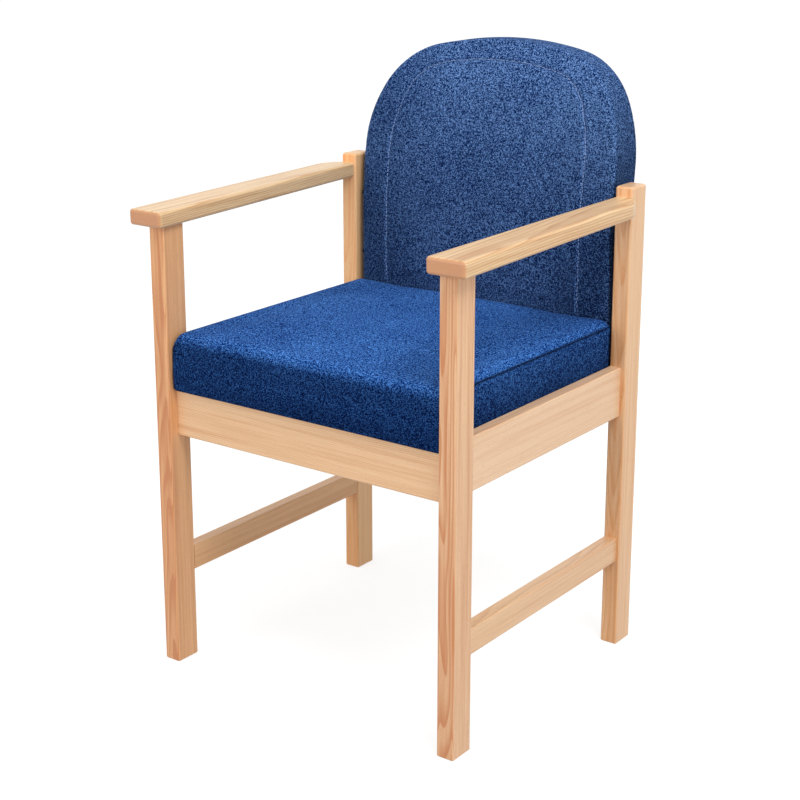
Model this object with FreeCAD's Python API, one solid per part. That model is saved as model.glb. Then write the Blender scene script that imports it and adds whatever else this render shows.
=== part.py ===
import FreeCAD, Part
import math
import os

# Dining armchair: a dowelled beech frame, two flat arms, an upholstered seat
# dropped in between the side rails and an arched upholstered back between the posts.
# Millimetres. +Z is up and the chair faces -Y. Left and right are as seen from in front, right being +X.
# The origin lies on the floor under the middle of the whole chair.

V = FreeCAD.Vector

# Frame outline
frame_width = 500.0
frame_depth = 458.0
leg_width = 26.0
leg_depth = 40.0
post_height = 675.0
leg_edge_radius = 3.0
foot_chamfer = 1.5
post_top_chamfer = 2.5

# Arms
arm_drop = 42.0
arm_rise = 7.0
arm_thickness = 22.0
arm_front_overhang = 15.0
arm_outer_overhang = 21.0
arm_inner_overhang = 10.0
arm_tail_inset = 3.0
arm_shoulder_length = 40.0
arm_shoulder_radius = 50.0
arm_corner_radius = 5.0
arm_edge_radius = 4.5

# Seat rails
front_rail_setback = 15.0
front_rail_thickness = 20.0
front_rail_depth = 66.0
seat_support_height = 404.0
side_rail_setback = 8.0
side_rail_depth = 72.0
side_rail_rise = 16.0
rear_rail_setback = 10.0
rear_rail_thickness = 18.0
rail_edge_radius = 2.0

# Side stretchers
stretcher_setback = 5.0
stretcher_thickness = 20.0
stretcher_bottom = 129.0
stretcher_top = 165.0

# Dowels
dowel_radius = 4.0
dowel_depth = 17.0
dowel_clearance = 0.1
dowel_end_space = 1.0
arm_dowel_radius = 5.0
arm_dowel_depth = 13.0

# Corner blocks and their screws
block_reach = 56.0
block_height = 26.0
block_clip = 8.0
block_rail_screw_reach = 34.0
block_seat_screw_reach = 19.0
screw_radius = 2.0
screw_head_radius = 4.0
screw_head_height = 3.0
screw_bite = 14.0
screw_cover = 12.0
screw_clearance = 0.1
screw_head_clearance = 1.0
screw_end_space = 1.0

# Seat cushion
seat_side_clearance = 1.5
seat_front_setback = 7.5
seat_thickness = 73.0
seat_crown = 11.0
seat_roll_crown = 4.5
seat_rear_crown = 6.5
seat_front_bulge = 3.0
seat_edge_crown = 1.5
seat_roll_radius = 24.0
seat_board_thickness = 12.0
lining_thickness = 0.8

# Back cushion
back_side_clearance = 8.0
back_front_setback = 1.5
back_thickness = 66.5
back_bottom_clearance = 2.0
back_shoulder_rise = 15.0
back_shoulder_radius = 196.0
back_shoulder_turn = 27.0
back_corner_radius = 122.0
back_corner_turn = 51.0
back_bend_drop = 75.0
back_front_bend_radius = 580.0
back_rear_bend_radius = 815.0
back_front_edge_radius = 11.0
back_rear_edge_radius = 5.0
back_board_thickness = 12.0
back_stile_width = 26.0
back_stile_drop = 15.0

# Upholstery
cover_thickness = 2.0
soft_gap = 0.3

# Places worked out from the sizes above
half_width = frame_width / 2
leg_inner = half_width - leg_width
arm_underside = post_height - arm_drop
front_rail_bottom = seat_support_height - front_rail_depth
side_rail_top = seat_support_height + side_rail_rise
side_rail_bottom = side_rail_top - side_rail_depth
seat_edge_height = seat_support_height + seat_thickness
back_shoulder_height = post_height + back_shoulder_rise
back_bend_height = post_height - back_bend_drop
back_stile_top = post_height - back_stile_drop
back_half = leg_inner - back_side_clearance
back_bottom = seat_support_height + back_bottom_clearance
back_arch_turn = math.radians(back_shoulder_turn)
back_crown_turn = math.radians(back_shoulder_turn + back_corner_turn)
back_corner_side = back_half - back_shoulder_radius + back_corner_radius * math.cos(back_crown_turn)
back_corner_side += (back_shoulder_radius - back_corner_radius) * math.cos(back_arch_turn)
back_corner_top = back_shoulder_height + back_corner_radius * math.sin(back_crown_turn)
back_corner_top += (back_shoulder_radius - back_corner_radius) * math.sin(back_arch_turn)
back_crown_height = back_corner_top + back_corner_side * math.tan((math.pi / 2 - back_crown_turn) / 2)
back_lean = back_rear_bend_radius - math.sqrt(
    back_rear_bend_radius ** 2 - (back_crown_height - back_bend_height) ** 2
)
back_overhang = back_front_setback + back_thickness + back_lean - leg_depth
overall_depth = arm_front_overhang + frame_depth + back_overhang
leg_front = arm_front_overhang - overall_depth / 2
leg_back = leg_front + leg_depth
post_back = leg_front + frame_depth
post_front = post_back - leg_depth
front_rail_front = leg_front + front_rail_setback
front_rail_back = front_rail_front + front_rail_thickness
rear_rail_front = post_front + rear_rail_setback
rear_rail_back = rear_rail_front + rear_rail_thickness
side_rail_outer = half_width - side_rail_setback
stretcher_outer = half_width - stretcher_setback
stretcher_inner = stretcher_outer - stretcher_thickness
arm_slope = arm_rise / (post_front - leg_front)
seat_half = leg_inner - seat_side_clearance
seat_front = leg_front + seat_front_setback
back_front = post_front + back_front_setback
back_rear = back_front + back_thickness
seat_rear = back_front - soft_gap


def block(x0, x1, y0, y1, z0, z1):
    return Part.makeBox(x1 - x0, y1 - y0, z1 - z0, V(x0, y0, z0))


def slab(y0, y1):
    """A box wider and taller than the chair between two depths."""
    return block(-frame_width, frame_width, y0, y1, -post_height, 2 * post_height)


def rod(start, direction, length, radius):
    return Part.makeCylinder(radius, length, start, direction)


def turned(centre, radius, turn):
    """A point at a radius from a centre, turned up from +X by an angle in degrees."""
    angle = math.radians(turn)
    return centre + V(radius * math.cos(angle), 0, radius * math.sin(angle))


def flipped(point):
    return V(-point.x, point.y, point.z)


def mirrored(shape):
    return shape.mirror(V(0, 0, 0), V(1, 0, 0))


def both_sides(shapes):
    return shapes + [mirrored(shape) for shape in shapes]


def edges_along(shape, direction):
    chosen = []
    for edge in shape.Edges:
        ends = [vertex.Point for vertex in edge.Vertexes]
        if len(ends) == 2 and (ends[1] - ends[0]).normalize().cross(direction).Length < 1e-6:
            chosen.append(edge)
    return chosen


def edges_at_height(shape, height):
    return [edge for edge in shape.Edges if all(abs(v.Z - height) < 1e-6 for v in edge.Vertexes)]


def prism(points, extent):
    """A closed outline pushed along a vector."""
    return Part.Face(Part.makePolygon(points + points[:1])).extrude(extent)


def save(name, shape):
    if not shape.isValid():
        raise ValueError(name + " is not a sound solid")
    shape.exportStep("parts/" + name + ".step")


# Dowels: each stands half in one piece and half in its neighbour, in a hole with room at its ends
def dowel_pair(joint, direction, radius=dowel_radius, depth=dowel_depth):
    pin = rod(joint - direction * depth, direction, 2 * depth, radius)
    reach = depth + dowel_end_space
    hole = rod(joint - direction * reach, direction, 2 * reach, radius + dowel_clearance)
    return pin, hole


def dowels(joints, direction, **size):
    pairs = [dowel_pair(joint, direction, **size) for joint in joints]
    return [pair[0] for pair in pairs], [pair[1] for pair in pairs]


def two_rows(start, end):
    """Places of two dowels in a joint, a quarter of its length from each end."""
    quarter = (end - start) / 4
    return start + quarter, end - quarter


across = V(1, 0, 0)
along = V(0, 1, 0)
upward = V(0, 0, 1)

side_rail_middle = (leg_inner + side_rail_outer) / 2
stretcher_middle = (stretcher_inner + stretcher_outer) / 2
leg_middle = (leg_inner + half_width) / 2
side_ends = (leg_back, post_front)

# The side rails' dowels stand higher than the cross rails', so they pass each other inside the legs
front_rows = two_rows(front_rail_bottom, seat_support_height)
front_joints = [V(leg_inner, (front_rail_front + front_rail_back) / 2, z) for z in front_rows]
front_pins, front_holes = dowels(front_joints, across)

rear_joints = [V(leg_inner, (rear_rail_front + rear_rail_back) / 2, z) for z in front_rows]
rear_pins, rear_holes = dowels(rear_joints, across)

row_shift = 3 * dowel_radius
side_rows = [z + row_shift for z in front_rows]
side_joints = [V(side_rail_middle, y, z) for y in side_ends for z in side_rows]
side_pins, side_holes = dowels(side_joints, along)

stretcher_rows = two_rows(stretcher_bottom, stretcher_top)
stretcher_joints = [V(stretcher_middle, y, z) for y in side_ends for z in stretcher_rows]
stretcher_pins, stretcher_holes = dowels(stretcher_joints, along)


def arm_level(y):
    """Height of the arm's underside above a point of the floor."""
    return arm_underside + arm_slope * (y - leg_front)


arm_post_joints = [V(leg_middle, y, arm_level(y)) for y in two_rows(leg_front, leg_back)]
arm_tail_joint = V(leg_middle, post_front, arm_level(post_front) + arm_thickness / 2)
arm_leg_pins, arm_leg_holes = dowels(arm_post_joints, upward, depth=arm_dowel_depth)
arm_tail_pins, arm_tail_holes = dowels([arm_tail_joint], along, radius=arm_dowel_radius)

back_stile_outer = back_half - cover_thickness - soft_gap
back_stile_front = post_front + leg_depth / 4
back_dowel_depth = (post_front + post_back) / 2
back_rows = two_rows(seat_edge_height, back_stile_top)
back_joints = [V((leg_inner + back_stile_outer) / 2, back_dowel_depth, z) for z in back_rows]
back_pins, back_holes = dowels(back_joints, across)


# Legs: the front pair carries the arms, the rear pair stands on past them as posts
def leg(front, top_front, top_back):
    back = front + leg_depth
    outline = [V(leg_inner, front, 0), V(leg_inner, back, 0)]
    outline += [V(leg_inner, back, top_back), V(leg_inner, front, top_front)]
    solid = prism(outline, V(leg_width, 0, 0))
    solid = solid.makeFillet(leg_edge_radius, edges_along(solid, upward))
    return solid.makeChamfer(foot_chamfer, edges_at_height(solid, 0))


front_leg = leg(leg_front, arm_level(leg_front), arm_level(leg_back))
front_leg = front_leg.cut(front_holes + side_holes + stretcher_holes + arm_leg_holes)

rear_leg = leg(post_front, post_height, post_height)
rear_leg = rear_leg.makeChamfer(post_top_chamfer, edges_at_height(rear_leg, post_height))
rear_leg = rear_leg.cut(rear_holes + side_holes + stretcher_holes + arm_tail_holes + back_holes)

# Rails and stretchers: straight bars with their long edges eased


def bar(x0, x1, y0, y1, z0, z1, direction):
    solid = block(x0, x1, y0, y1, z0, z1)
    return solid.makeFillet(rail_edge_radius, edges_along(solid, direction))


def cross_rail(front, back, holes):
    solid = bar(-leg_inner, leg_inner, front, back, front_rail_bottom, seat_support_height, across)
    return solid.cut(both_sides(holes))


side_rail = bar(leg_inner, side_rail_outer, leg_back, post_front, side_rail_bottom, side_rail_top, along)
side_rail = side_rail.cut(side_holes)
front_rail = cross_rail(front_rail_front, front_rail_back, front_holes)
rear_rail = cross_rail(rear_rail_front, rear_rail_back, rear_holes)
stretcher = bar(stretcher_inner, stretcher_outer, leg_back, post_front, stretcher_bottom, stretcher_top, along)
stretcher = stretcher.cut(stretcher_holes)


# Arms: a flat paddle over the front leg, its outer edge swept in to the width of the post
def make_arm():
    inner = leg_inner - arm_inner_overhang
    outer = half_width + arm_outer_overhang
    front = leg_front - arm_front_overhang
    past_post = post_front + arm_edge_radius / 2
    turn_start = post_front - arm_shoulder_length

    def on_shoulder(y):
        run = y - turn_start
        return V(outer - arm_shoulder_radius + math.sqrt(arm_shoulder_radius ** 2 - run ** 2), y, 0)

    tail_inner = V(leg_inner + arm_tail_inset, past_post, 0)
    tail_outer = on_shoulder(past_post)
    mid_shoulder = on_shoulder((turn_start + past_post) / 2)
    outline = [
        Part.makeLine(V(inner, front, 0), V(outer, front, 0)),
        Part.makeLine(V(outer, front, 0), V(outer, turn_start, 0)),
        Part.Arc(V(outer, turn_start, 0), mid_shoulder, tail_outer).toShape(),
        Part.makeLine(tail_outer, tail_inner),
        Part.makeLine(tail_inner, V(inner, front, 0)),
    ]
    solid = Part.Face(Part.Wire(outline)).extrude(V(0, 0, arm_thickness))
    corners = [edge for edge in edges_along(solid, upward) if edge.Vertexes[0].Y < leg_front]
    solid = solid.makeFillet(arm_corner_radius, corners)
    rim = edges_at_height(solid, 0) + edges_at_height(solid, arm_thickness)
    rim = [edge for edge in rim if edge.CenterOfMass.y < past_post - 1e-6]
    solid = solid.makeFillet(arm_edge_radius, rim)
    solid.rotate(V(0, leg_front, 0), across, math.degrees(math.atan(arm_slope)))
    solid.translate(V(0, 0, arm_underside))
    solid = solid.cut(slab(post_front, post_back))
    return solid.cut(arm_leg_holes + arm_tail_holes)


arm = make_arm()


# Corner blocks: glued into the four inner corners, two screws into the rails and one up into the seat
def screw(seat, direction, length):
    """A screw whose head rests at a point, and the bore that takes shank and head."""
    head = rod(seat - direction * screw_head_height, direction, screw_head_height, screw_head_radius)
    bore = rod(seat, direction, length + screw_end_space, screw_radius + screw_clearance)
    access_radius = screw_head_radius + screw_head_clearance
    access = rod(seat - direction * block_reach, direction, block_reach, access_radius)
    return head.fuse(rod(seat, direction, length, screw_radius)), bore, access


def corner_block(rail_face, inward):
    """The right-hand block of one end: rail_face is the cross rail's inner face, inward its way out."""
    corner = V(leg_inner, rail_face, seat_support_height - block_height)
    outline = [
        corner - across * block_clip,
        corner - across * block_reach,
        corner + along * inward * block_reach,
        corner + along * inward * block_clip,
    ]
    solid = prism(outline, V(0, 0, block_height))
    middle = seat_support_height - block_height / 2
    near = block_seat_screw_reach
    far = block_rail_screw_reach
    into_rail = screw(
        V(leg_inner - far, rail_face + inward * screw_cover, middle), along * -inward, screw_cover + screw_bite
    )
    into_side = screw(
        V(leg_inner - screw_cover, rail_face + inward * far, middle), across, screw_cover + screw_bite
    )
    into_seat = screw(
        V(leg_inner - near, rail_face + inward * near, seat_support_height - screw_cover),
        upward,
        screw_cover + lining_thickness + seat_board_thickness - 2 * screw_end_space,
    )
    for made in (into_rail, into_side, into_seat):
        solid = solid.cut([made[1], made[2]])
    return solid, into_rail, into_side, into_seat


front_block, front_to_rail, front_to_side, front_to_seat = corner_block(front_rail_back, 1)
rear_block, rear_to_rail, rear_to_side, rear_to_seat = corner_block(rear_rail_front, -1)
front_rail = front_rail.cut(both_sides([front_to_rail[1]]))
rear_rail = rear_rail.cut(both_sides([rear_to_rail[1]]))
side_rail = side_rail.cut([front_to_side[1], rear_to_side[1]])
block_screws = [made[0] for made in (front_to_rail, front_to_side, rear_to_rail, rear_to_side)]
seat_screws = [front_to_seat[0], rear_to_seat[0]]


# Seat cushion: a crowned top that rolls over the front edge, flat sewn-in side panels
def seat_outline(x, inset):
    """The cushion cut front to back at one distance from its middle, drawn in by inset."""
    swell = 1 - (x / seat_half) ** 2
    bottom = seat_support_height + lining_thickness
    front = seat_front + inset
    rear = seat_rear - inset
    radius = seat_roll_radius - inset
    edge = seat_edge_height - inset
    roll_top = edge + seat_roll_crown * swell
    crown_top = edge + seat_edge_crown + seat_crown * swell
    rear_top = edge + seat_rear_crown * swell
    low = roll_top - radius
    bulge = seat_edge_crown + seat_front_bulge * swell
    lower_front = V(x, front, bottom)
    upper_front = V(x, front, low)
    roll_end = V(x, front + radius, roll_top)
    on_roll = V(x, front + radius * (1 - math.sqrt(0.5)), low + radius * math.sqrt(0.5))
    crown = V(x, (front + radius + rear) / 2, crown_top)
    upper_rear = V(x, rear, rear_top)
    lower_rear = V(x, rear, bottom)
    return Part.Wire(
        [
            Part.Arc(lower_front, V(x, front - bulge, (bottom + low) / 2), upper_front).toShape(),
            Part.Arc(upper_front, on_roll, roll_end).toShape(),
            Part.Arc(roll_end, crown, upper_rear).toShape(),
            Part.makeLine(upper_rear, lower_rear),
            Part.makeLine(lower_rear, lower_front),
        ]
    )


def seat_form(inset, half):
    """The cushion's body between two flat sides."""
    stations = (-1.0, -0.85, -0.5, 0.0, 0.5, 0.85, 1.0)
    return Part.makeLoft([seat_outline(half * station, inset) for station in stations], True, False)


seat_panel_inner = seat_half - cover_thickness
seat_outer_form = seat_form(0, seat_half)
seat_hollow = seat_form(cover_thickness, seat_half)
seat_foam_inset = cover_thickness + soft_gap
seat_core = seat_form(seat_foam_inset, seat_half - seat_foam_inset)
seat_board_top = seat_support_height + lining_thickness + seat_board_thickness

seat_panel = seat_outer_form.common(block(seat_panel_inner, seat_half, -frame_depth, frame_depth, 0, post_height))
between_panels = block(-seat_panel_inner, seat_panel_inner, -frame_depth, frame_depth, 0, post_height)
seat_cover = seat_outer_form.common(between_panels).cut(seat_hollow)
seat_board = seat_core.common(block(-half_width, half_width, -frame_depth, frame_depth, 0, seat_board_top))
seat_board = seat_board.cut(both_sides([front_to_seat[1], rear_to_seat[1]]))
seat_foam = seat_core.cut(block(-half_width, half_width, -frame_depth, frame_depth, 0, seat_board_top))
seat_lining = block(
    -seat_panel_inner,
    seat_panel_inner,
    seat_front + seat_foam_inset,
    seat_rear - seat_foam_inset,
    seat_support_height,
    seat_support_height + lining_thickness,
)
seat_lining = seat_lining.cut(both_sides([front_to_seat[1], rear_to_seat[1]]))


# Back cushion: a padded slab, arched at the top, that stands upright at the loins and bends back above
def arch(y, inset):
    """The arched outline, drawn in by inset: straight sides, easy shoulders, tighter corners, flat crown."""
    half = back_half - inset
    bottom = back_bottom + inset
    shoulder = back_shoulder_radius - inset
    corner = back_corner_radius - inset
    shoulder_centre = V(half - shoulder, y, back_shoulder_height)
    corner_centre = turned(shoulder_centre, shoulder - corner, back_shoulder_turn)
    start = turned(shoulder_centre, shoulder, 0)
    on_shoulder = turned(shoulder_centre, shoulder, back_shoulder_turn / 2)
    shoulder_end = turned(shoulder_centre, shoulder, back_shoulder_turn)
    on_corner = turned(corner_centre, corner, back_shoulder_turn + back_corner_turn / 2)
    corner_end = turned(corner_centre, corner, back_shoulder_turn + back_corner_turn)
    crown = V(0, y, back_crown_height - inset)
    return Part.Wire(
        [
            Part.makeLine(V(-half, y, bottom), V(half, y, bottom)),
            Part.makeLine(V(half, y, bottom), start),
            Part.Arc(start, on_shoulder, shoulder_end).toShape(),
            Part.Arc(shoulder_end, on_corner, corner_end).toShape(),
            Part.Arc(corner_end, crown, flipped(corner_end)).toShape(),
            Part.Arc(flipped(corner_end), flipped(on_corner), flipped(shoulder_end)).toShape(),
            Part.Arc(flipped(shoulder_end), flipped(on_shoulder), flipped(start)).toShape(),
            Part.makeLine(flipped(start), V(-half, y, bottom)),
        ]
    )


def front_face(inset):
    """Depth and bend radius of the front face, moved inwards by inset."""
    return back_front + inset, back_front_bend_radius - inset


def rear_face(inset):
    """Depth and bend radius of the rear face, moved inwards by inset."""
    return back_rear - inset, back_rear_bend_radius + inset


def depth_at(z, face):
    """Depth of a face at a height: upright up to the bend, then along a circle that leans back."""
    depth, radius = face
    rise = max(0.0, z - back_bend_height)
    return depth + radius - math.sqrt(radius ** 2 - rise ** 2)


def bent_sheet(front, rear):
    """Everything between two faces, wider and taller than the cushion."""
    side = -frame_width
    low = 0.0
    top = back_crown_height + leg_depth
    middle = (back_bend_height + top) / 2
    edges = []
    for face in (front, rear):
        foot, bend, waist, head = [V(side, depth_at(z, face), z) for z in (low, back_bend_height, middle, top)]
        edges.append(Part.makeLine(foot, bend))
        edges.append(Part.Arc(bend, waist, head).toShape())
    for z in (low, top):
        edges.append(Part.makeLine(V(side, depth_at(z, front), z), V(side, depth_at(z, rear), z)))
    outline = Part.Wire(Part.__sortEdges__(edges))
    return Part.Face(outline).extrude(V(2 * frame_width, 0, 0))


def rim_of(body, face, bottom):
    """Edges where a face meets the sides and the arch."""
    rim = []
    for edge in body.Edges:
        middle = edge.valueAt((edge.FirstParameter + edge.LastParameter) / 2)
        on_face = abs(middle.y - depth_at(middle.z, face)) < 0.01
        on_crease = abs(middle.z - back_bend_height) < 0.01 and abs(middle.x) < back_half / 2
        if on_face and not on_crease and middle.z > bottom + 0.01:
            rim.append(edge)
    return rim


def back_form(inset):
    """The cushion drawn in by inset all round, with rolled front edges and tighter rear ones."""
    front = front_face(inset)
    rear = rear_face(inset)
    start = depth_at(0, front) - leg_depth
    end = depth_at(back_crown_height, rear) + leg_depth
    body = Part.Face(arch(start, inset)).extrude(V(0, end - start, 0)).common(bent_sheet(front, rear))
    bottom = back_bottom + inset
    body = body.makeFillet(back_front_edge_radius - inset, rim_of(body, front, bottom))
    return body.makeFillet(back_rear_edge_radius - inset, rim_of(body, rear, bottom))


back_inset = cover_thickness + soft_gap
outside = rear_face(-back_board_thickness)
behind_lining = bent_sheet(rear_face(cover_thickness), outside)
behind_foam = bent_sheet(rear_face(back_inset + back_board_thickness), outside)

back_core = back_form(back_inset)
back_cover = back_form(0).cut(back_form(cover_thickness)).cut(both_sides(back_holes))
back_cover_rear = back_cover.common(behind_lining)
back_cover_front = back_cover.cut(behind_lining)
back_board = back_core.common(behind_foam)
back_stile_room = block(
    back_stile_outer - back_stile_width,
    half_width,
    back_stile_front,
    back_rear + leg_depth,
    back_bottom,
    back_stile_top,
)
back_padding = back_core.cut(behind_foam)
back_stile = back_padding.common(back_stile_room).cut(back_holes)
back_foam = back_padding.cut(both_sides([back_stile_room]))

# Every piece in its own file, the left-hand ones mirrored from the right-hand ones
pairs = {
    "front_leg": front_leg,
    "rear_leg": rear_leg,
    "side_rail": side_rail,
    "stretcher": stretcher,
    "arm": arm,
    "front_corner_block": front_block,
    "rear_corner_block": rear_block,
    "seat_side_panel": seat_panel,
    "back_stile": back_stile,
}
singles = {
    "front_rail": front_rail,
    "rear_rail": rear_rail,
    "seat_lining": seat_lining,
    "seat_board": seat_board,
    "seat_foam": seat_foam,
    "seat_cover": seat_cover,
    "back_board": back_board,
    "back_foam": back_foam,
    "back_cover_front": back_cover_front,
    "back_cover_rear": back_cover_rear,
}
groups = {
    "front_rail_dowels": front_pins,
    "rear_rail_dowels": rear_pins,
    "side_rail_dowels": side_pins,
    "stretcher_dowels": stretcher_pins,
    "arm_dowels": arm_leg_pins + arm_tail_pins,
    "back_dowels": back_pins,
    "corner_block_screws": block_screws,
    "seat_screws": seat_screws,
}

os.makedirs("parts", exist_ok=True)
for name, shape in pairs.items():
    save(name + "_right", shape)
    save(name + "_left", mirrored(shape))
for name, shape in singles.items():
    save(name, shape)
for name, shapes in groups.items():
    save(name, Part.makeCompound(both_sides(shapes)))
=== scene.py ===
# %% [markdown]
# # An upholstered dining armchair
# A straight beech frame with flat arms, a thick seat pad that rolls over the front rail, and a padded back with an
# arched top. The frame's pieces are exact solids, so they stay as they are and only get their finish here. The soft
# pieces are made here, because cloth over foam is never as regular as a solid.

# %% Load the frame
import math

import bpy
import numpy as np
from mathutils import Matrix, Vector
from mathutils.bvhtree import BVHTree
from mathutils.kdtree import KDTree


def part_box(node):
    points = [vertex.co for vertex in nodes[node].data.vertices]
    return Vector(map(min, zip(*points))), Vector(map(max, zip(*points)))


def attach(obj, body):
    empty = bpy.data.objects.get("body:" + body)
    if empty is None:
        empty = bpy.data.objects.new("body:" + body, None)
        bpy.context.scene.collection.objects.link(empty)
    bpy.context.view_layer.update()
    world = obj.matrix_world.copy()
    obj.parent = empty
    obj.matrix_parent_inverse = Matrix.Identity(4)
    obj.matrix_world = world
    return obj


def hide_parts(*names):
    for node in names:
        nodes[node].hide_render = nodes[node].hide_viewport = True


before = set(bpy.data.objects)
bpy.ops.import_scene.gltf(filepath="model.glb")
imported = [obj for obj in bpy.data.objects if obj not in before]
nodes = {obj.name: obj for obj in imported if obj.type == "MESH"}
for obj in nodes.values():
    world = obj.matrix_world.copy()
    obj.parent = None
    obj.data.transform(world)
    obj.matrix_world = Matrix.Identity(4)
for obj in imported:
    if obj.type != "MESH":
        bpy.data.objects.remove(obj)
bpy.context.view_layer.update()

# %% [markdown]
# ## Formulas for finishes
# A finish is a network of shader nodes. Wiring each node by hand is long, so one small class wraps a socket: sums and
# products of sockets add the Math nodes, and one method adds any other node.


# %% A socket that takes part in sums
class Wire:
    def __init__(self, tree, socket=None):
        self.tree = tree
        self.socket = socket

    def node(self, kind, settings=None, inputs=None, output=0):
        made = self.tree.nodes.new(kind)
        for name, value in (settings or {}).items():
            if name == "stops":
                ramp = made.color_ramp
                while len(ramp.elements) < len(value):
                    ramp.elements.new(0.5)
                for element, (place, colour) in zip(ramp.elements, value):
                    element.position = place
                    element.color = colour
            else:
                setattr(made, name, value)
        for key, value in (inputs or {}).items():
            if isinstance(value, Wire):
                self.tree.links.new(value.socket, made.inputs[key])
            else:
                made.inputs[key].default_value = value
        return Wire(self.tree, made.outputs[output])

    def maths(self, operation, first, second=0.0):
        return self.node("ShaderNodeMath", {"operation": operation}, {0: first, 1: second})

    def __add__(self, other):
        return self.maths("ADD", self, other)

    __radd__ = __add__

    def __sub__(self, other):
        return self.maths("SUBTRACT", self, other)

    def __rsub__(self, other):
        return self.maths("SUBTRACT", other, self)

    def __mul__(self, other):
        return self.maths("MULTIPLY", self, other)

    __rmul__ = __mul__

    def clipped(self):
        return self.node("ShaderNodeClamp", None, {"Value": self})

    def spread(self, low, high):
        """0 where the value is at low or under, 1 at high or over."""
        return self.node("ShaderNodeMapRange", {"clamp": True}, {"Value": self, "From Min": low, "From Max": high})


# %% Start a finish, and mix colours
def new_finish(name):
    finish = bpy.data.materials.new(name)
    finish.use_nodes = True
    tree = finish.node_tree
    wire = Wire(tree)
    shader = tree.nodes["Principled BSDF"]
    place = wire.node("ShaderNodeTexCoord", output="Object")
    return finish, wire, shader, place


def mixed(amount, first, second, blend="MIX"):
    wire = next(item for item in (amount, first, second) if isinstance(item, Wire))
    return wire.node("ShaderNodeMix", {"data_type": "RGBA", "blend_type": blend}, {0: amount, 6: first, 7: second}, 2)


def feed(shader, **sockets):
    for name, value in sockets.items():
        socket = shader.inputs[name.replace("_", " ")]
        if isinstance(value, Wire):
            value.tree.links.new(value.socket, socket)
        else:
            socket.default_value = value


def tint(red, green, blue):
    """A colour as a paint chart gives it, 0 to 255, made linear for the shader."""
    chart = (red / 255, green / 255, blue / 255)
    return (*(c / 12.92 if c <= 0.04045 else ((c + 0.055) / 1.055) ** 2.4 for c in chart), 1.0)


print("formulas ready")

# %% [markdown]
# ## Lacquered beech
# Beech is a pale, pinkish tan wood with fine straight grain, short brown flecks and, where a board is cut flat to the
# rings, long pointed arches. A picture of wood would show the same arches on each side of a leg, so the rings are
# modelled as they grow: the distance to a far, slightly tilted and wavering centre line. Each board gets its own
# centre, so no two look alike, and end grain comes by itself.


# %% Rings, fibres and flecks
def beech(name, along, centre, rings, tilt, early, late, figure=1.0, face=None, ends=0.5):
    finish, wire, shader, place = new_finish(name)
    turns = {"X": (0, -math.pi / 2, 0), "Y": (math.pi / 2, 0, 0), "Z": (0, 0, 0)}
    board = wire.node("ShaderNodeMapping", None, {"Vector": place, "Rotation": turns[along]})
    slow = wire.node("ShaderNodeMapping", None, {"Vector": board, "Location": centre, "Scale": (1, 1, 0.13)})
    waver = wire.node("ShaderNodeTexNoise", None, {"Vector": slow, "Scale": 21.0, "Detail": 2.0, "Roughness": 0.5})
    axes = wire.node("ShaderNodeSeparateXYZ", None, {0: board})
    across, deep, length = (Wire(wire.tree, axes.socket.node.outputs[i]) for i in range(3))
    across = across - centre[0] + length * 0.006
    deep = deep - centre[1] + length * tilt
    radius = wire.maths("SQRT", across * across + deep * deep) + (waver - 0.5) * 0.014 * figure
    turn = wire.maths("FRACT", radius * rings + 20.0)
    ring = turn.spread(0.35, 0.93) * (1 - turn.spread(0.94, 1.0))

    grain = wire.node("ShaderNodeMapping", None, {"Vector": board, "Location": centre, "Scale": (1, 1, 0.020)})
    fibre = wire.node("ShaderNodeTexNoise", None, {"Vector": grain, "Scale": 1000.0, "Detail": 3.0, "Roughness": 0.6})
    streak = wire.node("ShaderNodeTexNoise", None, {"Vector": grain, "Scale": 170.0, "Detail": 2.0, "Roughness": 0.55})
    short = wire.node("ShaderNodeMapping", None, {"Vector": board, "Location": centre, "Scale": (1, 1, 0.14)})
    speck = wire.node("ShaderNodeTexNoise", None, {"Vector": short, "Scale": 1300.0, "Detail": 1.0})
    fleck = speck.spread(0.66, 0.74)
    broad = wire.node("ShaderNodeTexNoise", None, {"Vector": slow, "Scale": 13.0, "Detail": 1.0})

    towards = wire.node("ShaderNodeTexCoord", output="Normal")
    cut_end = wire.maths("ABSOLUTE", wire.node("ShaderNodeSeparateXYZ", None, {0: towards}, along)).spread(0.3, 0.9)
    share = ring * 0.50 * figure * (1 - cut_end * 0.7) + (streak - 0.46) * 1.5 + (broad - 0.5) * 0.6 + cut_end * 1.1 * ends
    if face is not None:
        # Front and rear faces take more of the late colour: partly the figure of a flat-sawn face, partly painted shade
        # that makes the legs' fronts warmer and darker.
        flat_sawn_and_shade = wire.maths("ABSOLUTE", wire.node("ShaderNodeSeparateXYZ", None, {0: towards}, face))
        share = share + flat_sawn_and_shade.spread(0.3, 0.9) * 0.42
    body = mixed(share.clipped(), tint(*early), tint(*late))
    body = mixed(cut_end * ends, body, tint(206, 146, 108))
    body = mixed((fibre - 0.40).clipped() * 0.7, body, tint(*(0.90 * c for c in late)))
    body = mixed(fleck * 0.34, body, tint(*(0.74 * c for c in late)))
    bump = wire.node("ShaderNodeBump", None, {"Strength": 0.14, "Distance": 0.0005, "Height": fibre - fleck * 0.5})
    feed(shader, Base_Color=body, Roughness=0.30 + fibre * 0.14 + fleck * 0.1, Normal=bump)
    feed(shader, IOR=1.48, Coat_Weight=0.20, Coat_Roughness=0.16)
    return finish


def dress(node, finish):
    for place in nodes[node].material_slots:
        place.material = finish
    if not nodes[node].material_slots:
        nodes[node].data.materials.append(finish)
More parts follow.
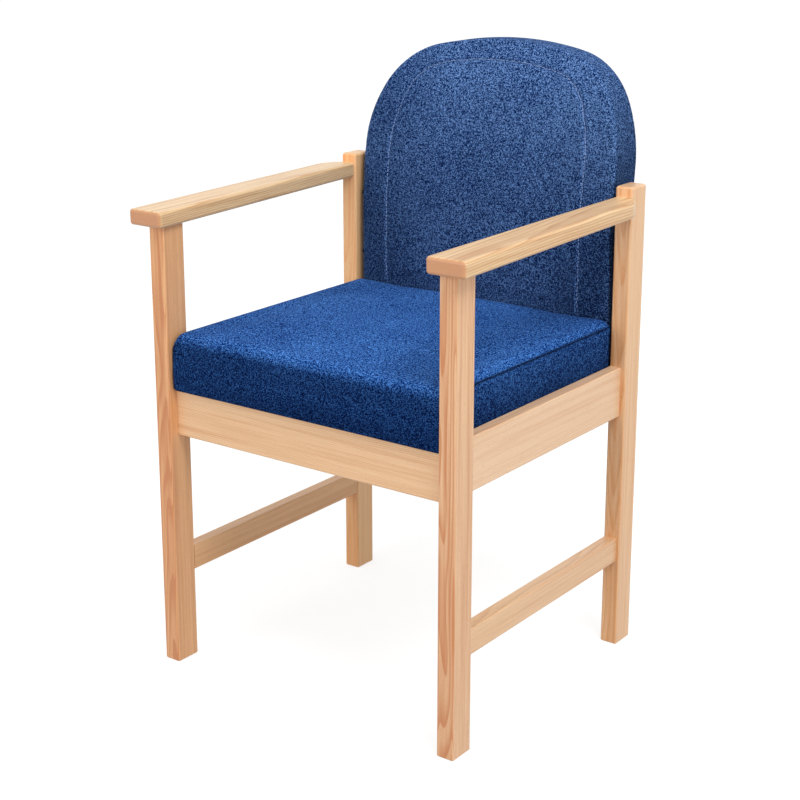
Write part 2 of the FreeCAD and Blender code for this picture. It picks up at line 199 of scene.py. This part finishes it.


# %% [markdown]
# Grain follows the length of each piece: up the legs, across in the front and rear rails, front to back in the side
# rails, stretchers and arms. The centre says where in the log the board was cut: far away gives straight lines, near
# gives arches. Next come the rings in a metre, how far the log leans, and the wood's two colours, early and late in the
# year, because the boards of one chair never match; a few boards' colours also carry painted light and shade. The
# legs' fronts are cut flat to the rings, and their front and rear faces are also painted warmer and darker as shade.

# %% Legs
warm, orange = (244, 202, 158), (206, 134, 85)
# Painted shade: the left front leg's early colour is darker and more orange, for the shade its inner side stands in.
for name, centre, tilt, early in (
    ("front_leg_left", (-0.232, -0.212, -0.6), -0.012, (246, 191, 137)),
    ("front_leg_right", (0.232, -0.204, 1.4), 0.012, warm),
):
    dress(name, beech("beech_" + name, "Z", centre, 560.0, tilt, early, orange, 1.2, "Y"))
# Painted light: the left rear leg's colours are brighter than the other post's, against the shade under the seat.
for name, centre, early, late in (
    ("rear_leg_left", (-0.243, 0.219, 1.3), (255, 208, 152), (246, 174, 112)),
    ("rear_leg_right", (0.243, 0.209, 3.3), warm, (222, 158, 102)),
):
    dress(name, beech("beech_" + name, "Z", centre, 520.0, 0.014, early, late, 1.0, "Y", 0.1))

# %% Rails and stretchers
tan = (214, 152, 100)
# Painted light and shade: the right side rail is paler for the light from the right, and the left stretcher is darker
# and more orange for the shade it lies in.
for name, along, centre, rings, tilt, early, late in (
    ("front_rail", "X", (-0.215, -0.200, 3.1), 420.0, 0.010, warm, tan),
    ("rear_rail", "X", (-0.480, 0.250, 3.9), 400.0, 0.010, warm, tan),
    ("side_rail_left", "Y", (-0.225, -0.240, 4.6), 430.0, 0.010, warm, tan),
    ("side_rail_right", "Y", (0.190, -0.270, 5.2), 380.0, 0.022, (246, 209, 171), (226, 170, 122)),
    ("stretcher_left", "Y", (-0.250, -0.080, 6.1), 460.0, 0.018, (246, 194, 140), (212, 144, 88)),
    ("stretcher_right", "Y", (0.225, -0.250, 6.8), 460.0, 0.016, (242, 200, 156), (216, 158, 110)),
):
    dress(name, beech("beech_" + name, along, centre, rings, tilt, early, late))

# %% Arms
for name, centre in (("arm_left", (-0.246, -0.606, 6.4)), ("arm_right", (0.254, -0.618, 8.4))):
    dress(name, beech("beech_" + name, "Y", centre, 330.0, 0.030, (242, 207, 159), (202, 146, 92), 1.2, None, 0.85))
print("beech boards: 4 legs, 6 rails and stretchers, 2 arms")

# %% [markdown]
# ## What stays out of sight
# Corner blocks, dowels, plywood and screws show only from below. They still get their own finish: sawn blocks without
# lacquer, plain dowels, plies that can be counted on the board's edge, and zinc-plated steel. The dowels that carry
# the back cross a narrow gap to the posts, and they are painted dark like the shade in that gap.


# %% Sawn blocks and dowels
def sawn_wood(name, colour, scale):
    finish, wire, shader, place = new_finish(name)
    grain = wire.node("ShaderNodeMapping", None, {"Vector": place, "Scale": scale})
    lines = wire.node("ShaderNodeTexNoise", None, {"Vector": grain, "Scale": 400.0, "Detail": 3.0})
    patch = wire.node("ShaderNodeTexNoise", None, {"Vector": place, "Scale": 30.0, "Detail": 2.0})
    body = mixed((lines * 1.3 + patch * 0.5 - 0.5).clipped(), tint(*colour), tint(*(0.82 * c for c in colour)))
    bump = wire.node("ShaderNodeBump", None, {"Strength": 0.3, "Distance": 0.0006, "Height": lines})
    feed(shader, Base_Color=body, Roughness=0.62 + lines * 0.2, Normal=bump)
    return finish


block_finish = sawn_wood("sawn_block", (224, 188, 146), (1, 0.06, 1))
dowel_finish = sawn_wood("dowel_beech", (222, 182, 138), (0.06, 1, 1))
# Painted shade: the back's dowels are painted nearly black for the shade in the gap by the posts.
dowel_shade_finish = sawn_wood("painted_shade_dowel", (44, 40, 42), (0.06, 1, 1))
for node in nodes:
    if "corner_block_" in node and "screws" not in node:
        dress(node, block_finish)
    if node.endswith("dowels") or node.startswith("back_stile"):
        dress(node, dowel_finish)
dress("back_dowels", dowel_shade_finish)


# %% Plywood
def plywood(name, across):
    finish, wire, shader, place = new_finish(name)
    axes = wire.node("ShaderNodeSeparateXYZ", None, {0: place}, across)
    ply = wire.maths("FRACT", axes * 420.0)
    dark_ply = ply.spread(0.42, 0.50) * (1 - ply.spread(0.92, 1.0))
    grain = wire.node("ShaderNodeMapping", None, {"Vector": place, "Scale": (0.05, 1, 1)})
    lines = wire.node("ShaderNodeTexNoise", None, {"Vector": grain, "Scale": 260.0, "Detail": 3.0})
    body = mixed((dark_ply * 0.6 + lines * 0.5).clipped(), tint(226, 198, 158), tint(188, 148, 104))
    bump = wire.node("ShaderNodeBump", None, {"Strength": 0.25, "Distance": 0.0005, "Height": lines - dark_ply * 0.4})
    feed(shader, Base_Color=body, Roughness=0.58 + lines * 0.2, Normal=bump)
    return finish


dress("seat_board", plywood("seat_plywood", "Z"))
dress("back_board", plywood("back_plywood", "Y"))


# %% Zinc-plated screws
def zinc(name):
    finish, wire, shader, place = new_finish(name)
    cloud = wire.node("ShaderNodeTexNoise", None, {"Vector": place, "Scale": 900.0, "Detail": 2.0})
    body = mixed(cloud, tint(196, 196, 190), tint(168, 170, 172))
    bump = wire.node("ShaderNodeBump", None, {"Strength": 0.1, "Distance": 0.0003, "Height": cloud})
    feed(shader, Base_Color=body, Roughness=0.26 + cloud * 0.2, Normal=bump, Metallic=1.0)
    return finish


zinc_finish = zinc("zinc_screw")
for node in ("corner_block_screws", "seat_screws"):
    dress(node, zinc_finish)
print("hidden pieces dressed")

# %% [markdown]
# ## Heathered cloth
# The cover is a dense wool-like cloth, spun from dark, mid and light blue fibre, so from near it is speckled and from
# far it is one blue. Three sizes of noise stand for tufts, yarn and fibre, and a ramp gives the three dyes their
# share. The same height lifts the yarn in the bump. Two attributes carry painted shade: one paints the seams' grooves
# darker, the other paints shade onto the seat's front and sides and onto the back low down, at its edges and sides.


# %% Cloth from three dyes
def heathered_cloth(name, dark, middle, light):
    finish, wire, shader, place = new_finish(name)
    tuft = wire.node("ShaderNodeTexNoise", None, {"Vector": place, "Scale": 380.0, "Detail": 1.0, "Roughness": 0.5})
    yarn = wire.node("ShaderNodeTexNoise", None, {"Vector": place, "Scale": 680.0, "Detail": 2.0, "Roughness": 0.65})
    fibre = wire.node("ShaderNodeTexNoise", None, {"Vector": place, "Scale": 2000.0, "Detail": 1.0})
    fade = wire.node("ShaderNodeTexNoise", None, {"Vector": place, "Scale": 9.0, "Detail": 1.0})
    blend = tuft * 0.20 + yarn * 0.58 + fibre * 0.22 + (fade - 0.5) * 0.05
    shares = [(0.455, tint(*dark)), (0.505, tint(*middle)), (0.558, tint(*light))]
    dyes = wire.node("ShaderNodeValToRGB", {"stops": shares}, {0: blend})
    # Painted shade: one attribute paints the seams' grooves towards a near-black blue. The other multiplies the dyes by
    # a dark grey-blue where shade is painted onto the seat and back.
    fold = wire.node("ShaderNodeAttribute", {"attribute_name": "fold"}, output="Fac")
    nap = wire.node("ShaderNodeAttribute", {"attribute_name": "nap"}, output="Fac")
    body = mixed((fold * 0.9).clipped(), mixed(nap, dyes, (0.10, 0.15, 0.20, 1), "MULTIPLY"), tint(5, 10, 28))
    bump = wire.node("ShaderNodeBump", None, {"Strength": 0.6, "Distance": 0.0011, "Height": blend})
    feed(shader, Base_Color=body, Roughness=0.86 + yarn * 0.14, Normal=bump)
    feed(shader, Sheen_Weight=0.01, Sheen_Roughness=0.5, Specular_IOR_Level=0.02)
    return finish


seat_heather = heathered_cloth("seat_heather", (0, 24, 80), (6, 65, 146), (92, 152, 232))
back_heather = heathered_cloth("back_heather", (4, 26, 72), (30, 65, 123), (118, 157, 215))
print("cloths:", seat_heather.name, back_heather.name)

# %% [markdown]
# ## Making a pad
# A pad is foam in a tight cover. It starts as a copy of the whole cushion's solids. A voxel remesh turns that into one
# even net of small squares, which is drawn in by a few millimetres wherever it is free to swell. Cloth simulation then
# blows the net up like a cover that is pulled over foam, and a limit keeps it from growing into its neighbours. Points
# that are stapled or glued are held.


# %% Copy a filling and remesh it
def only(obj):
    if bpy.context.object and bpy.context.object.mode != "OBJECT":
        bpy.ops.object.mode_set(mode="OBJECT")
    bpy.ops.object.select_all(action="DESELECT")
    obj.select_set(True)
    bpy.context.view_layer.objects.active = obj


def apply(obj, kind, **settings):
    only(obj)
    modifier = obj.modifiers.new(kind.lower(), kind)
    for name, value in settings.items():
        setattr(modifier, name, value)
    bpy.ops.object.modifier_apply(modifier=modifier.name)


def filling_copy(name, sources):
    copies = []
    for source in sources:
        copy = nodes[source].copy()
        copy.data = nodes[source].data.copy()
        copy.parent = None
        for key in list(copy.keys()):
            del copy[key]
        bpy.context.collection.objects.link(copy)
        copies.append(copy)
    only(copies[0])
    for copy in copies:
        copy.select_set(True)
    bpy.ops.object.join()
    pad = bpy.context.object
    pad.name = pad.data.name = name
    bpy.ops.object.mode_set(mode="EDIT")
    bpy.ops.mesh.select_all(action="SELECT")
    bpy.ops.mesh.remove_doubles(threshold=1e-5)
    bpy.ops.object.mode_set(mode="OBJECT")
    pad.data.materials.clear()
    apply(pad, "REMESH", mode="VOXEL", voxel_size=0.005, use_smooth_shade=True)
    apply(pad, "SMOOTH", factor=0.5, iterations=2)
    return pad


def points(obj):
    flat = np.empty(len(obj.data.vertices) * 3)
    obj.data.vertices.foreach_get("co", flat)
    return flat.reshape(-1, 3)


def normals(obj):
    flat = np.empty(len(obj.data.vertices) * 3)
    obj.data.vertices.foreach_get("normal", flat)
    return flat.reshape(-1, 3)


def place_points(obj, where):
    obj.data.vertices.foreach_set("co", np.ascontiguousarray(where).ravel())
    obj.data.update()


# %% Settle a net on the solids' skin
def skin_of(sources):
    corners, faces = [], []
    for source in sources:
        mesh = nodes[source].data
        mesh.calc_loop_triangles()
        faces += [[len(corners) + i for i in face.vertices] for face in mesh.loop_triangles]
        corners += [tuple(vertex.co) for vertex in mesh.vertices]
    return BVHTree.FromPolygons(corners, faces)


def settled(pad, skin, reach=0.007):
    """Where each point lies once it is pressed onto the skin, along its own normal."""
    rest = points(pad)
    for i, (here, out) in enumerate(zip(rest.copy(), normals(pad))):
        hit = skin.ray_cast(Vector(here + out * reach), Vector(-out), 2 * reach)[0]
        if hit is not None:
            rest[i] = hit
    return rest


def ramp(value, low, high):
    return np.clip((value - low) / (high - low), 0, 1)


# %% Blow the cover up round its filling
def blown_up(pad, held, cap, drawn_in=0.003, pressure=4.0):
    """Where the cover's points come to lie, no further than cap from where they started."""
    start = points(pad) - normals(pad) * drawn_in * (~held)[:, None]
    place_points(pad, start)
    group = pad.vertex_groups.new(name="held")
    group.add(np.flatnonzero(held).tolist(), 1.0, "REPLACE")
    cloth = pad.modifiers.new("cover", "CLOTH")
    cloth.settings.use_pressure = True
    cloth.settings.uniform_pressure_force = pressure
    cloth.settings.effector_weights.gravity = 0
    cloth.settings.vertex_group_mass = group.name
    cloth.settings.quality = 3
    cloth.point_cache.frame_start, cloth.point_cache.frame_end = 1, 20
    for step in range(1, 21):
        bpy.context.scene.frame_set(step)
    shaped = pad.evaluated_get(bpy.context.evaluated_depsgraph_get()).to_mesh()
    end = np.empty(len(shaped.vertices) * 3)
    shaped.vertices.foreach_get("co", end)
    moved = end.reshape(-1, 3) - start
    reach = np.linalg.norm(moved, axis=1, keepdims=True)
    pad.modifiers.remove(cloth)
    pad.vertex_groups.remove(group)
    bpy.context.scene.frame_set(1)
    print("%s: %d points, moved up to %.1f mm, kept to %.1f" % (pad.name, len(start), reach.max() * 1000, cap * 1000))
    return start + moved * np.minimum(1, cap / np.maximum(reach, 1e-9))


# %% [markdown]
# ## Seat pad
# The seat is a thick foam on a plywood board. The cloth runs from the rear over the top and down the front in one
# piece, with a soft roll at the front edge, and a panel is sewn in at each side. The foam is cut a little high, so the
# cloth rises above the side seams and rolls over to a nearly flat top. Below and behind it is stapled to the board,
# and at the sides and in front it lies tight, so there the net keeps to the solid's skin and the foam's own rolls, and
# only the middle of the top swells.

# %% Seat cushion: net and foam
seat_pieces = ["seat_cover", "seat_foam", "seat_board", "seat_side_panel_left", "seat_side_panel_right"]
seat_pad = filling_copy("seat_cushion", seat_pieces)
seat_skin = skin_of(seat_pieces)
seat_low, seat_high = (np.array(corner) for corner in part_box("seat_cover"))


def rolled(gap, radius):
    """How far an edge with that radius has dropped at a distance from it."""
    inside = np.clip(radius - gap, 0, radius)
    return radius - np.sqrt(radius ** 2 - inside ** 2)


def foam_form(where, out, roll=0.017):
    """The foam's top, nearly flat, with a round roll in front and small ones above the side seams."""
    x = where[:, 0] / seat_high[0]
    y = (where[:, 1] - seat_low[1]) / (seat_high[1] - seat_low[1]) * 2 - 1
    crown = 0.4850 + 0.0055 * (1 - x ** 2) * (1 - y ** 2) - rolled(seat_high[0] - np.abs(where[:, 0]), 0.008)
    front = seat_low[1] + 0.001 + 0.003 * x ** 2
    centre_y, centre_z = front + roll, crown - roll
    formed = where.copy()
    upright = (where[:, 2] <= centre_z) & (out[:, 1] < -0.25)
    formed[upright, 1] += ((front - where[:, 1]) * ramp(where[:, 2], 0.432, 0.456))[upright]
    flat = (where[:, 1] >= centre_y) & (out[:, 2] > 0.25)
    formed[flat, 2] = crown[flat]
    bent = (where[:, 1] < centre_y) & (where[:, 2] > centre_z)
    reach = np.hypot(where[:, 1] - centre_y, where[:, 2] - centre_z)
    formed[bent, 1] = (centre_y + (where[:, 1] - centre_y) / reach * roll)[bent]
    formed[bent, 2] = (centre_z + (where[:, 2] - centre_z) / reach * roll)[bent]
    return formed


def seat_hold(where, out):
    """1 where the seat's cloth lies tight on its filling, 0 where it is free to swell."""
    sides = ramp(np.abs(out[:, 0]), 0.55, 0.85) * ramp(where[:, 2], 0.4765, 0.4735)
    front = ramp(-out[:, 1], 0.6, 0.85) * ramp(where[:, 2], 0.455, 0.435)
    return np.max([sides, front, ramp(out[:, 1], 0.5, 0.8), ramp(where[:, 2], 0.425, 0.415)], axis=0)


place_points(seat_pad, settled(seat_pad, seat_skin))
place_points(seat_pad, foam_form(points(seat_pad), normals(seat_pad)))
apply(seat_pad, "SMOOTH", factor=0.4, iterations=2)

# %% Seat cushion: cover
foam = points(seat_pad)
shaped = blown_up(seat_pad, seat_hold(foam, normals(seat_pad)) > 0.5, 0.0050, 0.0025)
tight = np.maximum(ramp(-foam[:, 1], 0.130, 0.235), ramp(np.abs(foam[:, 0]), 0.150, 0.212))[:, None]
shaped += (foam - shaped) * tight ** 2 * (3 - 2 * tight)
shaped[:, 0] = np.clip(shaped[:, 0], -0.2226, 0.2226)
shaped[:, 1] = np.clip(shaped[:, 1], seat_low[1] + 0.0004, 0.1630)
place_points(seat_pad, shaped)
apply(seat_pad, "SUBSURF", levels=1, render_levels=1)
hold = seat_hold(points(seat_pad), normals(seat_pad))[:, None]
place_points(seat_pad, points(seat_pad) * (1 - hold) + settled(seat_pad, seat_skin) * hold)
print("seat cushion: %.0f mm high in the middle" % (points(seat_pad)[:, 2].max() * 1000))

# %% [markdown]
# ## Seams and sewn lines
# A seam pulls the cloth down to the foam along a line, and the cloth swells beside it. The net is made finer near the
# line, then each point close to it is moved along its normal: in at the line, slightly out on both sides.


# %% Distance to a line, and a finer net beside it
def evened(line, step):
    """Points at even steps along a line of points."""
    line = np.asarray(line)
    run = np.concatenate([[0], np.cumsum(np.linalg.norm(np.diff(line, axis=0), axis=1))])
    places = np.linspace(0, run[-1], int(run[-1] / step) + 1)
    return np.stack([np.interp(places, run, line[:, i]) for i in range(line.shape[1])], axis=1)


def distance_to(path, where):
    """Distance of each point from a line of points, and how far along the line its nearest place is."""
    fine = evened(path, 0.0005)
    tree = KDTree(len(fine))
    for i, spot in enumerate(fine):
        tree.insert(spot, i)
    tree.balance()
    found = [tree.find(spot)[1:] for spot in where]
    return np.array([gap for i, gap in found]), np.array([i * 0.0005 for i, gap in found])


def refine_beside(pad, path, reach):
    only(pad)
    faces = np.empty(len(pad.data.polygons) * 3)
    pad.data.polygons.foreach_get("center", faces)
    near = distance_to(path, faces.reshape(-1, 3))[0] < reach
    pad.data.polygons.foreach_set("select", near)
    bpy.ops.object.mode_set(mode="EDIT")
    bpy.ops.mesh.select_mode(type="FACE")
    bpy.ops.mesh.subdivide(number_cuts=1)
    bpy.ops.object.mode_set(mode="OBJECT")
    return int(near.sum())


def sew(pad, path, depth, width, swell, pucker=0.0, ease=None):
    """Draws the pad in along a line, and returns how close to it each point lies, a mask for the painted shade in the
    seam.
    """
    where, out = points(pad), normals(pad)
    gap, along = distance_to(path, where)
    depth = depth if ease is None else depth * ease(where)
    ripple = 1 + pucker * np.sin(along * 2 * math.pi / 0.009)
    rise = swell * np.exp(-(((gap - 2.6 * width) / (1.6 * width)) ** 2)) - depth * ripple * np.exp(-((gap / width) ** 2))
    place_points(pad, where + out * rise[:, None])
    return np.exp(-((gap / (0.75 * width)) ** 2))


def note(pad, name, values):
    layer = pad.data.attributes.get(name) or pad.data.attributes.new(name, "FLOAT", "POINT")
    layer.data.foreach_set("value", values.astype(np.float32))


# %% Side seams of the seat
side_line = [(0.158, 0.4745), (0.02, 0.4745), (-0.12, 0.4745), (-0.222, 0.4740), (-0.240, 0.4725)]
fold = []


def eased(where):
    """1 along the side, falling off to nothing where the seam comes to the roll in front."""
    return ramp(where[:, 1], -0.234, -0.205)


for side in (-1, 1):
    seam = [np.array((side * 0.2215, y, z)) for y, z in side_line]
    refine_beside(seat_pad, seam, 0.009)
for side in (-1, 1):
    seam = [np.array((side * 0.2222, y, z)) for y, z in side_line]
    fold.append(sew(seat_pad, seam, 0.0026, 0.0026, 0.0003, ease=eased) * eased(points(seat_pad)))
where, out = points(seat_pad), normals(seat_pad)
where[:, 1] = np.minimum(where[:, 1], 0.1632)
place_points(seat_pad, where)
# Painted shade: the side seams' grooves are painted darker.
note(seat_pad, "fold", np.maximum(*fold))
# Painted shade on the seat: the front face below the roll is painted darker, a little more so lower down, and the side
# panels are painted darker, more so lower down.
front = ramp(-where[:, 1], 0.205, 0.240) * ramp(out[:, 2], 0.99, 0.25)
side = ramp(np.abs(out[:, 0]), 0.4, 0.8) * ramp(where[:, 2], 0.478, 0.475) * (0.46 + 0.36 * ramp(where[:, 2], 0.474, 0.425))
note(seat_pad, "nap", np.maximum(front * (0.83 + 0.07 * ramp(where[:, 2], 0.465, 0.420)), side))
seat_pad.data.materials.append(seat_heather)
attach(seat_pad, "root")
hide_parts("seat_cover", "seat_foam", "seat_side_panel_left", "seat_side_panel_right")
print("seat cushion faces:", len(seat_pad.data.polygons))

# %% [markdown]
# ## Back pad
# The back is foam on bent plywood: upright at the loins, then leaning away in a gentle bend, with an arched top. The
# front cloth wraps round the sides and the arch, and a flat rear panel closes it. The rear, the sides and the arch are
# held in the simulation, because cloth lies tight there, and only the front swells.

# %% Back cushion
back_pieces = ["back_cover_front", "back_cover_rear", "back_foam", "back_board", "back_stile_left", "back_stile_right"]
back_pad = filling_copy("back_cushion", back_pieces)
back_skin = skin_of(back_pieces)


def back_hold(where, out):
    """1 on the rear, the sides and the arch, 0 on the front."""
    return np.maximum(ramp(out[:, 1], -0.88, -0.60), ramp(where[:, 2], 0.425, 0.415))


place_points(back_pad, settled(back_pad, back_skin))
shaped = blown_up(back_pad, back_hold(points(back_pad), normals(back_pad)) > 0.5, 0.0050, 0.0025)
place_points(back_pad, shaped)
apply(back_pad, "SUBSURF", levels=1, render_levels=1)
hold = back_hold(points(back_pad), normals(back_pad))[:, None]
place_points(back_pad, points(back_pad) * (1 - hold) + settled(back_pad, back_skin) * hold)
print("back cushion: top at %.0f mm" % (points(back_pad)[:, 2].max() * 1000))


# %% [markdown]
# The front carries one sewn line, an arch inside the back's own arch, that runs down both sides behind the seat. The
# line is worked out from the arch and laid onto the pad by casting a ray at it for each point. Another line, near the
# edge of the rear side, is the seam that closes the cover. Where the seat presses against the back, the pad stays flat.

# %% Lines that follow the arch
def arch_line(side_inset, top_inset, foot, steps=9):
    """The back's outline moved inwards, from the foot of its right side over the top to the left."""
    x, z = 0.216, 0.690
    half = [(0.216 - side_inset, foot), (0.216 - side_inset, 0.50), (0.216 - side_inset, 0.58), (0.216 - side_inset, 0.64)]
    turned = 0.0
    for radius, turn in ((0.196, 27.0), (0.122, 51.0), (0.535, 12.0)):
        for step in range(steps + (turned > 77)):
            angle = math.radians(turned + turn * step / steps)
            begin = math.radians(turned)
            px = x - radius * (math.cos(begin) - math.cos(angle))
            pz = z + radius * (math.sin(angle) - math.sin(begin))
            inset = side_inset * math.cos(angle) ** 2 + top_inset * math.sin(angle) ** 2
            half.append((px - inset * math.cos(angle), pz - inset * math.sin(angle)))
        end = math.radians(turned + turn)
        x, z = x - radius * (math.cos(begin) - math.cos(end)), z + radius * (math.sin(end) - math.sin(begin))
        turned += turn
    return half + [(-px, pz) for px, pz in reversed(half[:-1])]


def laid_on(pad, line, towards):
    surface = BVHTree.FromObject(pad, bpy.context.evaluated_depsgraph_get())
    laid = []
    for x, z in line:
        hit = surface.ray_cast(Vector((x, 0.2 - towards * 0.3, z)), Vector((0, towards, 0)))[0]
        if hit is not None:
            laid.append(np.array(hit))
    return laid


stitch_line = laid_on(back_pad, evened(arch_line(0.0485, 0.0275, 0.425), 0.006), 1)
rear_line = laid_on(back_pad, evened(arch_line(0.011, 0.011, 0.410), 0.008), -1)
print("stitched line: %d points, rear seam: %d points" % (len(stitch_line), len(rear_line)))

# %% Draw the pad in along both lines
for line, reach in ((stitch_line, 0.010), (rear_line, 0.007)):
    refine_beside(back_pad, line, reach)
stitched = sew(back_pad, stitch_line, 0.0017, 0.0024, 0.0006, pucker=0.25)
closed = sew(back_pad, rear_line, 0.0018, 0.0020, 0.0003)
# Painted shade: the closing seam's groove is painted darker, and the stitched line only slightly.
note(back_pad, "fold", np.maximum(stitched * 0.16, closed))
where, out = points(back_pad), normals(back_pad)
where[:, 1] = np.maximum(where[:, 1], 0.1634 - 0.0030 * ramp(where[:, 2], 0.494, 0.514))
place_points(back_pad, where)
# Painted shade on the back: darker low down towards the seat, darker towards both edges of the front face, and darker
# on the sides, more so lower down.
face = ramp(-out[:, 1], 0.80, 0.97)
low = 0.58 * ramp(where[:, 2], 0.80, 0.50) ** 0.65 * (0.4 + 0.6 * face)
edge = 0.18 * ramp(np.abs(where[:, 0]), 0.08, 0.17) * face
side = ramp(np.abs(out[:, 0]), 0.5, 0.9) * (0.25 + 0.42 * ramp(where[:, 2], 0.80, 0.70))
note(back_pad, "nap", np.maximum(low + edge, side))
back_pad.data.materials.append(back_heather)
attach(back_pad, "root")
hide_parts("back_cover_front", "back_cover_rear", "back_foam")
print("back cushion faces:", len(back_pad.data.polygons))

# %% [markdown]
# The thread itself shows as short, slightly lighter dashes in the drawn-in line. One stitch is made, a small
# capsule, and copied along the line, from the seat's top upwards, with its ends sunk into the cloth.

# %% Stitches
thread = heathered_cloth("stitch_thread", (104, 134, 188), (132, 160, 210), (156, 182, 224))
bpy.ops.object.select_all(action="DESELECT")
bpy.ops.mesh.primitive_uv_sphere_add(segments=6, ring_count=5, radius=1.0)
stitch = bpy.context.object
stitch.name = "stitch"
bpy.ops.object.mode_set(mode="EDIT")
bpy.ops.mesh.select_all(action="SELECT")
bpy.ops.transform.resize(value=(0.0007, 0.0007, 0.0023))
bpy.ops.object.mode_set(mode="OBJECT")
stitch_points = points(stitch)
surface = BVHTree.FromObject(back_pad, bpy.context.evaluated_depsgraph_get())
beads = [spot for spot in evened(stitch_line, 0.0052) if spot[2] > 0.4880]
copies = []
for before, here, after in zip(beads[:-2], beads[1:-1], beads[2:]):
    spot, out = surface.find_nearest(Vector(here))[:2]
    run = Vector(after - before).normalized()
    side = run.cross(out).normalized()
    turn = np.array([side, run.cross(side), run]).T
    copy = stitch.copy()
    copy.data = stitch.data.copy()
    bpy.context.collection.objects.link(copy)
    place_points(copy, stitch_points @ turn.T + np.array(spot + out * 0.0006))
    copies.append(copy)
only(copies[0])
for copy in copies:
    copy.select_set(True)
bpy.ops.object.join()
stitching = bpy.context.object
stitching.name = stitching.data.name = "back_stitching"
bpy.data.objects.remove(stitch)
bpy.ops.object.shade_smooth()
stitching.data.materials.clear()
stitching.data.materials.append(thread)
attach(stitching, "root")
print("stitches:", len(copies))

# %% [markdown]
# ## Lining
# Thin black lining cloth closes the seat from below. It is stapled to the board all round and hangs very slightly
# between the rails.


# %% Lining cloth
def lining_finish(name):
    finish, wire, shader, place = new_finish(name)
    web = wire.node("ShaderNodeTexVoronoi", {"feature": "DISTANCE_TO_EDGE"}, {"Vector": place, "Scale": 420.0})
    hair = wire.node("ShaderNodeTexNoise", None, {"Vector": place, "Scale": 1400.0, "Detail": 2.0})
    body = mixed((web * 2.5 + hair * 0.5).clipped(), tint(44, 44, 46), tint(24, 24, 26))
    bump = wire.node("ShaderNodeBump", None, {"Strength": 0.4, "Distance": 0.0005, "Height": hair - web})
    feed(shader, Base_Color=body, Roughness=0.78 + hair * 0.18, Normal=bump)
    return finish


lining_low, lining_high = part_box("seat_lining")
middle, size = (lining_low + lining_high) / 2, lining_high - lining_low
bpy.ops.object.select_all(action="DESELECT")
bpy.ops.mesh.primitive_grid_add(x_subdivisions=48, y_subdivisions=44, size=1.0)
lining = bpy.context.object
lining.name = lining.data.name = "seat_lining_cloth"
sheet = points(lining) * np.array((size.x, size.y, 1)) + np.array((middle.x, middle.y, lining_high.z - 0.0002))
inner = ramp(np.abs(sheet[:, 0]), 0.165, 0.075) * ramp(np.abs(sheet[:, 1] - middle.y), 0.165, 0.075)
sheet[:, 2] -= 0.004 * inner ** 0.7 + 0.0006 * inner * np.sin(sheet[:, 0] * 90) * np.sin(sheet[:, 1] * 70)
place_points(lining, sheet)
apply(lining, "SOLIDIFY", thickness=0.0004, offset=-1.0)
bpy.ops.object.shade_smooth()
lining.data.materials.append(lining_finish("lining_cloth"))
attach(lining, "root")
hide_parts("seat_lining")
print("lining: %.3f x %.3f m" % (size.x, size.y))

# %% [markdown]
# ## Studio
# The photograph is a catalogue picture on white: soft light from above and the right, hardly any shadow. The floor
# and the world show white to the camera, and the floor still keeps a faint shadow.


# %% White floor and world
def looked_at(wire):
    """1 for what is seen, also in a gloss or through glass, and 0 for light that falls on the chair."""
    kinds = ("Is Camera Ray", "Is Glossy Ray", "Is Transmission Ray")
    seen, glossy, clear = (wire.node("ShaderNodeLightPath", output=kind) for kind in kinds)
    return wire.maths("MAXIMUM", seen, wire.maths("MAXIMUM", glossy, clear))


def studio_floor():
    bpy.ops.object.select_all(action="DESELECT")
    bpy.ops.mesh.primitive_plane_add(size=30.0, location=(0, 0, 0))
    floor = bpy.context.object
    floor.name = "studio_floor"
    finish = bpy.data.materials.new("studio_white")
    finish.use_nodes = True
    wire = Wire(finish.node_tree)
    shader = finish.node_tree.nodes["Principled BSDF"]
    feed(shader, Base_Color=(0.42, 0.42, 0.42, 1), Roughness=1.0, Specular_IOR_Level=0.0)
    glow = wire.node("ShaderNodeEmission", None, {"Color": (1, 1, 1, 1), "Strength": looked_at(wire) * 0.74})
    both = wire.node("ShaderNodeAddShader", None, {0: Wire(wire.tree, shader.outputs[0]), 1: glow})
    wire.tree.links.new(both.socket, finish.node_tree.nodes["Material Output"].inputs["Surface"])
    floor.data.materials.append(finish)


def studio_world(strength):
    world = bpy.data.worlds.new("studio")
    bpy.context.scene.world = world
    world.use_nodes = True
    wire = Wire(world.node_tree)
    back = world.node_tree.nodes["Background"]
    wire.tree.links.new((strength + looked_at(wire) * (1.0 - strength)).socket, back.inputs["Strength"])
    back.inputs["Color"].default_value = (1, 1, 1, 1)


studio_floor()
studio_world(0.68)


# %% Soft boxes
def soft_box(name, where, target, size, power):
    lamp = bpy.data.lights.new(name, "AREA")
    lamp.shape = "DISK"
    lamp.size = size
    lamp.energy = power
    box = bpy.data.objects.new(name, lamp)
    box.location = where
    box.rotation_euler = (Vector(target) - Vector(where)).to_track_quat("-Z", "Y").to_euler()
    bpy.context.collection.objects.link(box)


soft_box("key_above_right", (1.7, -0.9, 2.9), (0, 0, 0.45), 1.4, 42.0)
soft_box("fill_front", (-0.6, -3.0, 1.5), (0, 0, 0.45), 2.0, 28.0)
soft_box("fill_low_right", (2.8, -0.4, 0.5), (0, 0, 0.3), 1.6, 9.0)

# %% [markdown]
# The photograph keeps upright lines parallel, as a camera with a shifted lens does. The camera's place and turn were
# worked out from the corners of the legs and posts. The shift is kept small enough for the chair to stay in the frame
# from every other side.

# %% Camera
lens = bpy.data.cameras.new("photograph")
lens.sensor_width = 36.0
lens.lens = 1683.7 / 800 * 36
lens.shift_y = -0.075
camera = bpy.data.objects.new("photograph", lens)
camera.location = (1.3283, -1.8355, 1.0876)
camera.rotation_euler = (math.radians(90 - 15.560), 0, math.radians(36.323))
bpy.context.collection.objects.link(camera)
bpy.context.scene.camera = camera
bpy.context.scene.view_settings.view_transform = "Standard"
